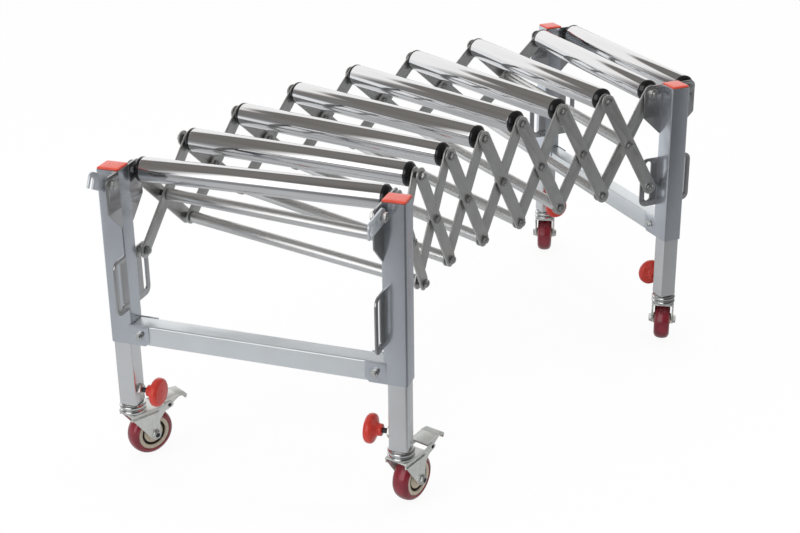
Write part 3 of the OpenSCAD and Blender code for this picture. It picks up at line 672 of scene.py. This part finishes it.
def frame_fasteners(k):
    p, ear = Piece(TAG[k] + "_fasteners_v"), PLATE_X + PLATE_T / 2
    roller_end, ear_in = ROLL_LEN / 2 + .1, ear - PLATE_T - .1
    for s in SIDES:
        tab_bolt(p, at_frame(k) @ move(s * (POST_X - POST_W / 2 - TAB_BOLT), 0, STRETCHER_Z) @ turn(90))
        side = at_frame(k) @ flip(s)
        if k == 0:
            # Axle of the first roller and the first outer links
            at, face = side @ move(0, FRAME_ARM, PIVOT_Z), link_out(0) + SKEW_GAP
            nut(p, at, face)
            p.add(sleeve(BUSH_D, ear + .1, link_out(0) - LINK_T - BUSH_GAP), "zinc", at)
            p.add(sleeve(SPACER_D, roller_end, ear_in), "zinc", at)
            p.add(rod(PIN_D, 0, face + 1, .2, 20), "zinc", at)
            # The hook's bolt
            at, face = side @ move(0, -FRAME_ARM, PIVOT_Z), link_out(0)
            nut(p, at, face + .15)
            p.add(sleeve(SPACER_D, ear + .1, face - LINK_T - .15), "zinc", at)
            p.add(rod(PIN_D, ear - PLATE_T - WASHER_T, face + 1, .2, 20), "zinc", at)
            nut(p, at @ flip(-1), PLATE_T + .1 - ear, False)
        else:
            # Axle of the last links, and of the last roller
            for y, x0 in ((-FRAME_ARM, link_in(BAYS - 1) + LINK_T + BUSH_GAP), (FRAME_ARM, roller_end)):
                at = side @ move(0, y, PIVOT_Z)
                nut(p, at, ear + .1)
                p.add(sleeve(SPACER_D, x0, ear_in), "zinc", at)
                p.add(rod(PIN_D, 0, ear + 1, .2, 20), "zinc", at)
    p.done(BODY[k], [TAG[k] + "_fasteners"], "zinc")


# Scissor links: kind is 1 for the outer ones, whose feet are to the rear, and -1 for the inner ones
def bars(k, kind, body):
    p = Piece(body + "_bars")
    for s in SIDES:
        top = -kind * chord(s) / 2
        low, z = top + kind * LINK_LEN * sin(lean(s)), -LINK_LEN * cos(lean(s))
        bores = [circle(top, 0, 4.3, 20), circle((top + low) / 2, z / 2, 4.3, 20), circle(low, z, 4.6, 20)]
        x = s * (PLATE_X * cos(radians(TURN / 2)) + kind * link_shift(k))
        p.add(plate(stadium(top, 0, low, z, LINK_W / 2), bores, LINK_T, .7, 2), "link",
              at_bay(k) @ move(x) @ STAND_YZ)
    p.done(body, [body], "link_steel")


def tie_bar(p, at, slant, ka, kb):
    """Tube between the inner links of bay kb, with a bolt at each end."""
    half, r = link_in(kb) - SKEW_GAP + slant, TIE_D / 2
    end = [(half - 1, r), (half - .35, r - .25), (half, r - .9), (half, 4)]
    p.add(lathe([(-x, r) for x, r in end[::-1]] + end, 48), "tie", at)
    for s in SIDES:
        side_bolt(p, at @ flip(s) @ move(slant), ka, kb)


def slot_pins(p, k, kind):
    """Pins of line k that run in the slot plates."""
    x, y = centre(k)
    keep, face = PLATE_T / 2 + PLATE_GAP, END_OUT + LINK_T / 2 + SKEW_GAP
    for s in SIDES:
        at = move(x, y, PIVOT_Z - drop(s)) @ turn(heading(k)) @ flip(s) @ move(PLATE_X) @ flip(kind)
        p.add(rod(PIN_D, -keep - 1, face + 1, .2, 20), "bolt", at)
        low_nut(p, at, face)
        low_nut(p, at @ flip(-1), keep)
        p.add(sleeve(BUSH_D, -keep, END_OUT - LINK_T / 2 - BUSH_GAP), "zinc", at)


def outer_links(k):
    """Outer links of bay k, with their axle, their crossing bolts and the tie at their feet."""
    body = f"link_a{k + 1}"
    bars(k, 1, body)
    p = Piece(body + "_pins")
    if k > 0:
        at = at_axle(k)
        for s in SIDES:
            side_bolt(p, at @ flip(s), k, k - 1)
        p.add(rod(PIN_D, -link_in(k - 1), link_in(k - 1), .2, 20), "zinc", at)
        if link_in(k - 1) - SKEW_GAP - ROLL_LEN / 2 > WASHER_T:
            for s in SIDES:
                p.add(sleeve(SPACER_D, ROLL_LEN / 2 + .1, link_in(k - 1) - SKEW_GAP), "zinc", at @ flip(s))
    at, slant = at_line(mid_point(k, -1), mid_point(k, 1))
    if k in (0, BAYS - 1):
        tie_bar(p, at, slant, k, k)
    else:
        for s in SIDES:
            end = at @ flip(s) @ move(slant)
            side_bolt(p, end, k, k)
            p.add(rod(PIN_D, link_in(k) - SKEW_GAP - WASHER_T - NUT_H, link_in(k), .2, 20), "bolt", end)
            low_nut(p, end @ flip(-1), SKEW_GAP - link_in(k), False)
    if k < BAYS - 1:
        tie_bar(p, *at_line(low_point(k + 1, -1), low_point(k + 1, 1)), k, k + 1)
    else:
        slot_pins(p, BAYS, 1)
    p.done(body, slot="zinc")


def inner_links(k):
    body = f"link_b{k + 1}"
    bars(k, -1, body)
    if k == 0:
        p = Piece(body + "_pins")
        slot_pins(p, 0, -1)
        p.done(body, slot="zinc")


def roller(n):
    """Tube and its two black caps."""
    at = at_axle(n - 1) if n < ROLLERS else at_frame(1) @ move(0, FRAME_ARM, PIVOT_Z)
    half = (ROLL_HALF_TIGHT if n in TIGHT_ROLLERS else ROLL_HALF) - ROLL_CAP
    r = ROLL_D / 2 + ROLL_GROW
    p = Piece(f"roller_{n}_v", at)
    end = [(half - 1.4, r), (half - .5, r - .3), (half, r - .9), (half, r - 1.5)]
    p.add(lathe([(-x, r) for x, r in end[::-1]] + end, 72), "chrome")
    cap = [(-1, r - 1.6), (.1, r - 1.6), (.12, r - .1), (.5, r + .25), (3.6, r + .25), (4.4, r - .1),
           (8.2, 15.2), (9, 14.2), (9.2, 12.8), (9.2, 11.4), (8.6, 11), (8.6, 9.4), (9.6, 9), (9.6, 7.4)]
    for s in SIDES:
        p.add(lathe([(half + x, r) for x, r in cap], 56), "black", flip(s))
    p.done(f"roller_{n}", [f"roller_{n}"], "roller_chrome", 30)


# Legs, knobs and casters: c is fl, fr, rl or rr
def race(z0, h, r, inner):
    """Profile of a ring with a half round rim, from z0 up."""
    e = h / 2
    angles = [-pi / 2 + pi * i / 8 for i in range(9)]
    return [(z0, inner)] + [(z0 + e + e * sin(a), r - e + e * cos(a)) for a in angles] + [(z0 + h, inner)]


def leg(c):
    """Sliding leg, end plug, upper race and kingpin."""
    at, p = at_post(c), Piece(f"leg_{c}_v")
    p.add(square_tube(LEG_W, LEG_WALL, 3, RACE_TOP, LEG_TOP), "zinc", at)
    plug = ring(PLUG_W, PLUG_W, 1.5)
    p.add(loft([(plug, RACE_TOP), (plug, RACE_TOP + PLUG_H)]), "zinc", at)
    z = RACE_TOP - RACE_H
    p.add(lathe([(z, 4.9)] + race(z, RACE_H, RACE_R, 8) + [(RACE_TOP, 4.9)], 56), "ring", at @ UP)
    p.add(lathe([(79.2, 0), (79.2, 7.8), (79.8, 9), (81, 9), (81, 5), (RACE_TOP, 5)], 36), "zinc", at @ UP)
    p.done(f"leg_{c}", [f"leg_{c}"], "zinc")


def knob(c):
    """Mushroom knob on its stud."""
    k, s = corner(c)
    at = at_frame(k) @ flip(s) @ move(POST_X - TUBE_W / 2, 0, KNOB_Z)
    p, x = Piece(f"knob_{c}_v"), -KNOB_OUT
    p.add(lathe([(x + .1, 0), (x + .1, 4), (1.4, 4), (1.6, 3.4), (1.6, 0)], 24), "dark", at)
    head = [(0, 0), (0, 8.2), (.8, 9.2), (5.5, 9.5), (8, 10.6), (10, 13.6), (11.4, 18.4), (12.8, 21.2),
            (15, 22.7), (17.5, 23), (20.5, 22.8), (23, 21.7), (24.8, 19.6), (25.6, 17.2), (25.3, 16),
            (25.5, 14.8), (26.3, 11), (26.9, 5.5), (27, 0)]
    p.add(lathe([(x - out, r) for out, r in head], 56), "knob", at)
    p.done(f"knob_{c}", [f"knob_{c}"], "knob_red", 45)


def fork(c):
    """Cheeks with a rib and bolt heads, crown, axle, pedal pin and lower race."""
    at, p = at_caster(c), Piece(f"fork_{c}_v")
    x, z, top, w = TRAIL, WHEEL_R, CROWN_Z, FORK_GAP / 2 + CHEEK_T
    outline = rounded([(-15, top, 2), (-15, top - 5, 2), (x - 9, z - 3.2, 3), (x - 6.6, z - 6.3, 1),
                       (x - 3, z - 8.5, 3), (x + 3, z - 8.5, 3), (x + 6.6, z - 6.3, 1), (x + 9, z, 5),
                       (x + 9, top - 24, 5), (46, top - 12, 4), (61, top - 8, 3), (63, top - 4, 1.6),
                       (LUG_X, top + 2, 4), (x + 9, top, 5)], 5)
    cheek = plate(outline, [circle(x, z, 4.1, 24)], CHEEK_T)
    rib = plate(stadium(x, z + 13, x, top - 12, 4.4), (), 1.4, .62, 2)
    for y in SIDES:
        p.add(cheek, "caster", at @ move(0, y * (FORK_GAP + CHEEK_T) / 2) @ STAND_XZ)
        p.add(rib, "caster", at @ move(0, y * (w + .15)) @ STAND_XZ)
        for px, pz, r, look in ((LUG_X, top - LUG_DROP, 3.1, "dark"), (x + 6, top - 3.4, 1.9, "caster")):
            p.add(lathe([(-.4, r), (.3, r), (.75, r * .75), (.95, 0)], 20), look,
                  at @ move(px, y * w, pz) @ turn(90 * y))
        end = at @ move(x, y * w, z) @ turn(90 * y)
        p.add(lathe([(0, 0), (0, 8.1), (.4, 8.4), (1, 8.4), (1.2, 8), (1.2, 0)]), "zinc", end)
        p.add(hexagon(1, 4.2, 12.6), "zinc", end)
        p.add(lathe([(5, 4), (5.2, 4), (5.4, 3.4), (5.4, 0)], 20), "dark", end)
    inner = w - CHEEK_T
    crown = rounded([(-w, -9, 0), (-w, 0, 3.6), (w, 0, 3.6), (w, -9, 0),
                     (inner, -9, 0), (inner, -2.8, 1.4), (-inner, -2.8, 1.4), (-inner, -9, 0)], 5)
    p.add(plate(crown, (), 50, .4), "caster", at @ move(10, 0, top) @ STAND_YZ)
    p.add(rod(8, -w - 3, w + 3, .3, 24), "zinc", at @ move(x, 0, z) @ turn(90))
    p.add(rod(5, -w, w, .3, 20), "zinc", at @ move(LUG_X, 0, top - LUG_DROP) @ turn(90))
    p.add(lathe([(top - .2, 5.3)] + race(top - .1, 7.7, 20.9, 12) + [(top + 7.6, 5.3)], 56), "ring", at @ UP)
    p.done(f"fork_{c}", [f"fork_{c}"], "zinc")


def wheel(c):
    """Tyre round a core with a groove on each side, the grooves painted dark as shade."""
    p, w = Piece(f"wheel_{c}_v", at_caster(c) @ move(TRAIL, 0, WHEEL_R) @ turn(90)), WHEEL_HALF
    tread = [radians(168 - 156 * i / 12) for i in range(13)]
    tyre = [(-w + .5, 28.1), (-w, 28.9), (-w + .4, 30.2)]
    tyre += [(w * .93 * cos(a), 28.3 + 9.2 * sin(a) ** .62) for a in tread]
    tyre += [(w - .4, 30.2), (w, 28.9), (w - .5, 28.1), (w - .5, 27.6), (-w + .5, 27.6), (-w + .5, 28.1)]
    p.add(lathe(tyre, 80), "tyre")
    rim = [(0, 27.9), (12.2, 27.9), (12.9, 27.2), (13, 26.4), (13, 22.2), (12.6, 21.4), (11.5, 21)]
    groove = [(11.6, 21.1), (4.6, 20.6), (4.5, 17.4), (10.6, 17)]
    hub = [(10.4, 17), (11.2, 16.6), (11.5, 15.8), (11.5, 10.8), (12, 10), (16, 9.6), (16.4, 9), (16.4, 4.2)]
    for s in SIDES:
        p.add(lathe(rim, 64), "core", flip(s))
        # The groove gets the painted shade colour
        p.add(lathe(groove, 64), "groove", flip(s))
        p.add(lathe(hub, 56), "core", flip(s))
    p.done(f"wheel_{c}", [f"wheel_{c}"], "wheel_pu", 30)


def pedal(c):
    """Flat arm, curled tread with pressed ridges, and two sides on the pin."""
    at, p, t = at_caster(c), Piece(f"pedal_{c}_v"), 2.0
    root, tip, reach = 46, 75.0, 90.0
    z0, pin_z = CROWN_Z + 3, CROWN_Z - LUG_DROP
    z1 = z0 + 2
    z2 = z1 - 2
    flat = rounded([(root, z0 - t, .8), (tip + t, z1 - t, 0), (tip + t, z1, 0), (root, z0, .8)], 4)
    p.add(plate(flat, (), 28), "caster", at @ STAND_XZ)
    shares = [i / 25 for i in range(26)]
    ridge_h, ridge_count = .75, 5
    ridges = [(reach - 1 - (reach - 1 - tip) * u,
               z2 + (z1 - z2) * u + ridge_h * sin(u * ridge_count * 2 * pi) ** 2) for u in shares]
    tread = [(tip, z1 - t), (reach - t - 1, z2 - t), (reach - 2 * t + .3, z2 - 7), (reach - t - .7, z2 - 7.2),
             (reach - 1.2, z2 - 6), (reach - .3, z2 - 3.6), (reach, z2 - 1.8), (reach - .4, z2 - .5)] + ridges
    p.add(plate(tread, (), 33, .3), "caster", at @ STAND_XZ)
    side = rounded([(49, pin_z - 3, 3), (52, pin_z - 6, 3), (58, pin_z - 6, 3), (61, pin_z - 1, 3),
                    (tip, z1 - t, 0), (tip, z1 - 1, 0), (root, z0 - 1, 0), (root, z0 - t - 1, 1.5)], 4)
    side = plate(side, [circle(LUG_X, pin_z, 2.7, 18)], 2, .3)
    fold = plate([(46.4, z0 - t), (tip, z1 - t), (tip, z1 - .1), (46.4, z0 - .1)], (), 3.4, .3)
    for y in SIDES:
        p.add(side, "caster", at @ move(0, y * 15.5) @ STAND_XZ)
        p.add(fold, "caster", at @ move(0, y * 14.6) @ STAND_XZ)
    p.done(f"pedal_{c}", [f"pedal_{c}"], "zinc")


def hook(c):
    """Flat hook with a round inner end, a rounded outer corner and a notch from below."""
    s = -1 if c == "l" else 1
    far, notch, half, r, corner_r = 53, 44, 12.5, 4.5, 9
    round_end = [pi * i / 24 for i in range(25)]
    outline = [(half * sin(a), -half * cos(a)) for a in round_end]
    quarter = [pi / 2 + pi / 2 * i / 8 for i in range(9)]
    outline += [(corner_r * cos(a) + corner_r - far, corner_r * sin(a) + half - corner_r) for a in quarter]
    outline += [(-far, -half + 1.5), (-far + .45, -half + .45), (-far + 1.5, -half),
                (-notch - r - .8, -half), (-notch - r, -half + .8)]
    outline += [(-notch - r * cos(pi * i / 12), r * sin(pi * i / 12)) for i in range(13)]
    outline += [(-notch + r, -half + .8), (-notch + r + .8, -half)]
    at = move(s * (PLATE_X + END_OUT), -FRAME_ARM, PIVOT_Z) @ turn(-HOOKS[c], "X") @ STAND_YZ
    p = Piece(f"hook_{c}_v")
    p.add(plate(outline, [circle(0, 0, 4.15, 24)], LINK_T, .35), "hook", at)
    p.done(f"hook_{c}", [f"hook_{c}"], "zinc")


for k in (0, 1):
    for make in (posts, leg_tubes, caps, ears, slot_plates, stretcher, frame_fasteners):
        make(k)
for k in range(BAYS):
    outer_links(k)
    inner_links(k)
for n in range(1, ROLLERS + 1):
    roller(n)
for c in CASTERS:
    for make in (leg, knob, fork, wheel, pedal):
        make(c)
for c in HOOKS:
    hook(c)


# Studio, in metres. Metal shows what its reflections meet, so glossy rays see their own shades.
def grey(value, warm=0.0):
    return value * (1 + warm), value, value * (1 - warm)


def greys(stops, warm=0.0):
    return [(place, grey(value, warm)) for place, value in stops]


def floor():
    """White to the camera, matt to light, and to metal a glowing painted reflection of light and shade."""
    half, cells = 12.0, 24
    row = cells + 1
    places = [-half + 2 * half * i / cells for i in range(row)]
    faces = [[a, a + 1, a + row + 1, a + row] for j in range(cells) for a in range(j * row, j * row + cells)]
    me = bpy.data.meshes.new("floor")
    me.from_pydata([(x, y, 0) for y in places for x in places], [], faces)
    ob = bpy.data.objects.new("floor", me)
    bpy.context.scene.collection.objects.link(ob)
    made = bpy.data.materials.new("floor")
    made.use_nodes = True
    tree = made.node_tree
    sh = Shader(tree)
    matt = tree.nodes["Principled BSDF"]
    sh.fill(matt, {"Base Color": (.93, .93, .93, 1), "Roughness": .9, "Specular IOR Level": .1})
    # Painted reflection: dim to the right and far in front, light to the left and behind
    place = sh.node("ShaderNodeTexCoord", {}).outputs["Object"]
    far = sh.share(sh.vector("DISTANCE", place, (1.8, -1.2, 0)), 0, 5)
    shade = sh.colours(far, greys([(0, .04), (.26, .05), (.31, .12), (.36, .4), (.42, .5), (.48, .5),
                                   (.53, .42), (.6, .62), (.7, .85), (1, .92)]))
    axes = sh.node("ShaderNodeSeparateXYZ", {"Vector": place}).outputs
    ahead = greys([(0, .32), (.56, .41), (.72, .95), (1, 1)], -.04)
    right = greys([(0, 1), (.5, .62), (1, .5)], .02)
    shade = sh.mix("MULTIPLY", shade, sh.colours(sh.share(axes["Y"], -3, .2), ahead))
    shade = sh.mix("MULTIPLY", shade, sh.colours(sh.share(axes["X"], .2, .7), right))
    ray = sh.node("ShaderNodeLightPath", {}).outputs
    # Glossy rays see the floor glow with this painted reflection instead of its lit colour
    glossy = sh.math("MULTIPLY", ray["Is Glossy Ray"], .95)
    camera_ray = sh.math("MULTIPLY", ray["Is Camera Ray"], .93)
    seen = sh.mix_shader(glossy, matt.outputs["BSDF"], sh.emission(shade))
    seen = sh.mix_shader(camera_ray, seen, sh.emission(WHITE))
    sh.fill(tree.nodes["Material Output"], {"Surface": seen})
    me.materials.append(made)


def world():
    """White to the camera, plain light to matt surfaces, and to metal a dim room with two bright walls."""
    room = bpy.data.worlds.new("studio")
    bpy.context.scene.world = room
    room.use_nodes = True
    room.node_tree.nodes.clear()
    sh = Shader(room.node_tree)
    way = sh.node("ShaderNodeTexCoord", {}).outputs["Generated"]
    height = sh.node("ShaderNodeSeparateXYZ", {"Vector": way}).outputs["Z"]

    def along(direction):
        return sh.vector("DOT_PRODUCT", way, direction)

    def wall(azimuth, half, soft, top, fade, value):
        """Bright window: half its width, its soft edge, its top and its fade are angles."""
        a = radians(azimuth)
        across, ahead = along((-sin(a), cos(a), 0)), along((cos(a), sin(a), 0))
        off = sh.math("ABSOLUTE", sh.math("ARCTAN2", across, ahead))
        wide = greys([(0, 1), (half / 180, 1), ((half + soft) / 180, 0), (1, 0)])
        tall = greys([(0, value * .7), (.03, value), (sin(radians(top)), value),
                      (sin(radians(top + fade)), 0), (1, 0)])
        return sh.mix("MULTIPLY", sh.colours(sh.share(off, 0, pi), wide),
                      sh.colours(sh.share(height, 0, 1), tall))

    front = wall(254, 17, 14, 40, 9, 1.35)
    left = wall(130, 42, 13, 37, 4, .8)
    level = sh.share(height, -1, 1)
    sky = sh.colours(level, [(0, grey(.4)), (.49, grey(.3)), (.52, grey(.2)), (.6, grey(.2, .03)),
                             (.7, grey(.2, .05)), (.85, grey(.17, .06)), (1, grey(.2, .05))])
    # The room is dimmer to the right
    right = sh.colours(sh.share(along((.87, -.5, 0)), -.2, .8), greys([(0, 1), (1, .3)]))
    shown = sh.mix("ADD", sh.mix("ADD", sh.mix("MULTIPLY", sky, right), front), left)
    light = sh.mix("MULTIPLY", sh.colours(level, greys([(0, .7), (.5, .7), (1, 1.05)])), right, .6)
    ray = sh.node("ShaderNodeLightPath", {}).outputs
    colour = sh.mix("MIX", light, shown, ray["Is Glossy Ray"])
    colour = sh.mix("MIX", colour, WHITE, ray["Is Camera Ray"])
    background = sh.node("ShaderNodeBackground", {"Color": colour, "Strength": 1.0})
    sh.node("ShaderNodeOutputWorld", {"Surface": background.outputs["Background"]})


def lamp(name, place, target, size, watts):
    data = bpy.data.lights.new(name, "AREA")
    data.shape = "RECTANGLE"
    data.size, data.size_y = size
    data.energy = watts
    ob = bpy.data.objects.new(name, data)
    bpy.context.scene.collection.objects.link(ob)
    ob.visible_glossy = False
    ob.location = place
    ob.rotation_euler = (Vector(target) - Vector(place)).to_track_quat("-Z", "Y").to_euler()


# The camera was fitted to points of the photo: width, focal length and shift in its pixels
PHOTO_W, FOCAL, SHIFT, SENSOR = 800, 1401.268, -80, 36
YAW, NOD, ROLL = radians(19.121), radians(21.121), radians(-.724)
EYE = (.819572, -1.705615, 1.213804)


def camera():
    data = bpy.data.cameras.new("camera")
    data.sensor_width = SENSOR
    data.lens = FOCAL * SENSOR / PHOTO_W
    data.shift_y = SHIFT / PHOTO_W
    data.clip_start = .05
    ob = bpy.data.objects.new("camera", data)
    bpy.context.scene.collection.objects.link(ob)
    ahead = Vector((-sin(YAW) * cos(NOD), cos(YAW) * cos(NOD), -sin(NOD)))
    level = Vector((cos(YAW), sin(YAW), 0))
    above = level.cross(ahead)
    right = cos(ROLL) * level + sin(ROLL) * above
    top = -sin(ROLL) * level + cos(ROLL) * above
    ob.matrix_world = move(*EYE) @ Matrix((right, top, -ahead)).transposed().to_4x4()
    bpy.context.scene.camera = ob


floor()
world()
lamp("key", (-1.6, -2.4, 2.6), (.1, .4, .3), (1.6, 1.2), 33)
lamp("top", (.3, .8, 3.2), (.2, .5, .3), (2.2, 1.0), 22)
camera()
bpy.context.scene.view_settings.view_transform = "Standard"
